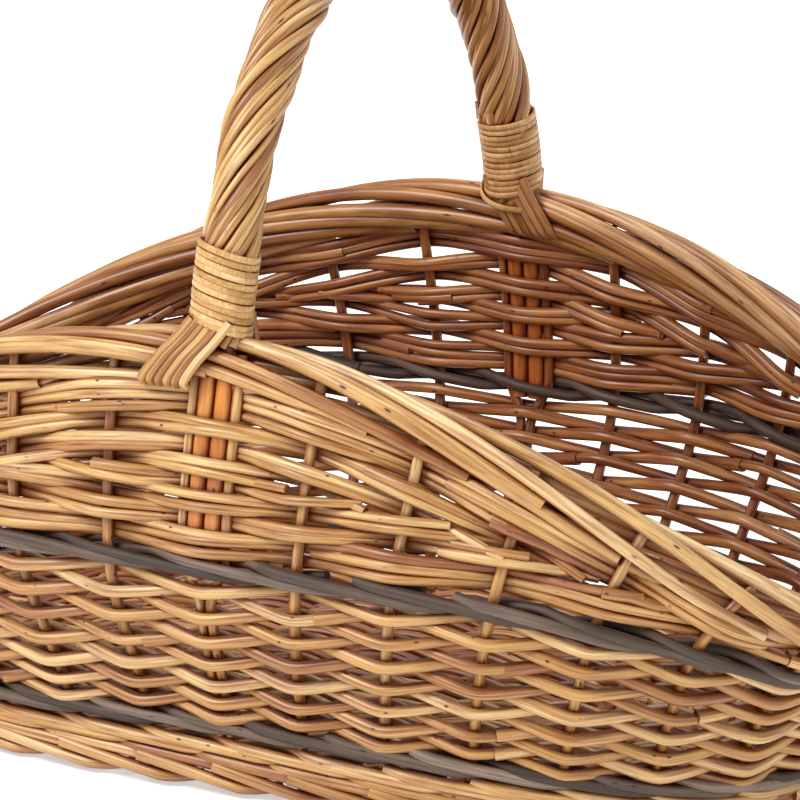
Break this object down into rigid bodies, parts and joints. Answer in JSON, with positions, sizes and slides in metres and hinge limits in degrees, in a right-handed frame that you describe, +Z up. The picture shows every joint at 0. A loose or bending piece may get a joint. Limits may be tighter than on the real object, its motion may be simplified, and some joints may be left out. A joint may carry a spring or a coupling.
{
  "type": "log basket",
  "caption": "Oval, boat-shaped woven willow basket with dark bands, a low arched rim, an open top and one tall roped handle across its middle, for carrying logs.",
  "frame": {"origin": "middle of the box's underside, on the plane that the foot stands on", "axes": "+X along the basket's length, +Y across it towards the back, +Z up"},
  "size_m": [0.75, 0.4268, 0.4723],
  "materials": {
    "base_stick_willow": "thick buff willow sticks, dull",
    "border_willow": "thick buff willow rods, satin",
    "bow_rod_wood": "thick orange-brown willow rods, satin",
    "buff_willow": "buff (boiled and stripped) willow rods, satin, with small dark leaf scars",
    "dark_willow": "unpeeled brown willow rods, dull bark",
    "handle_willow": "buff willow rods twisted into a rope, satin",
    "skein_willow": "split willow skeins, flat, satin on the outside",
    "stake_willow": "buff willow stakes, satin"
  },
  "bodies": {
    "root": {"base_cross_sticks": "base_stick_willow", "base_long_stick_1": "base_stick_willow", "base_long_stick_2": "base_stick_willow", "base_long_stick_3": "base_stick_willow", "base_weave": "buff_willow", "binding_back": "skein_willow", "binding_front": "skein_willow", "foot_border": "border_willow", "foot_wale": "buff_willow", "handle_bow_rod_1": "bow_rod_wood", "handle_bow_rod_2": "bow_rod_wood", "handle_roping": "handle_willow", "handle_stakes_back": "stake_willow", "handle_stakes_front": "stake_willow", "lower_dark_band": "dark_willow", "lower_siding": "buff_willow", "rim_border": "border_willow", "roots_back_inside": "handle_willow", "roots_back_outside": "handle_willow", "roots_front_inside": "handle_willow", "roots_front_outside": "handle_willow", "stake_01": "stake_willow", "stake_02": "stake_willow", "stake_03": "stake_willow", "stake_04": "stake_willow", "stake_05": "stake_willow", "stake_06": "stake_willow", "stake_07": "stake_willow", "stake_08": "stake_willow", "stake_09": "stake_willow", "stake_10": "stake_willow", "stake_11": "stake_willow", "stake_12": "stake_willow", "stake_13": "stake_willow", "stake_14": "stake_willow", "stake_15": "stake_willow", "stake_16": "stake_willow", "stake_17": "stake_willow", "stake_18": "stake_willow", "stake_19": "stake_willow", "stake_20": "stake_willow", "stake_21": "stake_willow", "stake_22": "stake_willow", "stake_23": "stake_willow", "stake_24": "stake_willow", "stake_25": "stake_willow", "stake_26": "stake_willow", "stake_27": "stake_willow", "stake_28": "stake_willow", "stake_29": "stake_willow", "stake_30": "stake_willow", "upper_dark_band": "dark_willow", "upper_siding_back": "buff_willow", "upper_siding_front": "buff_willow"}
  },
  "joints": []
}
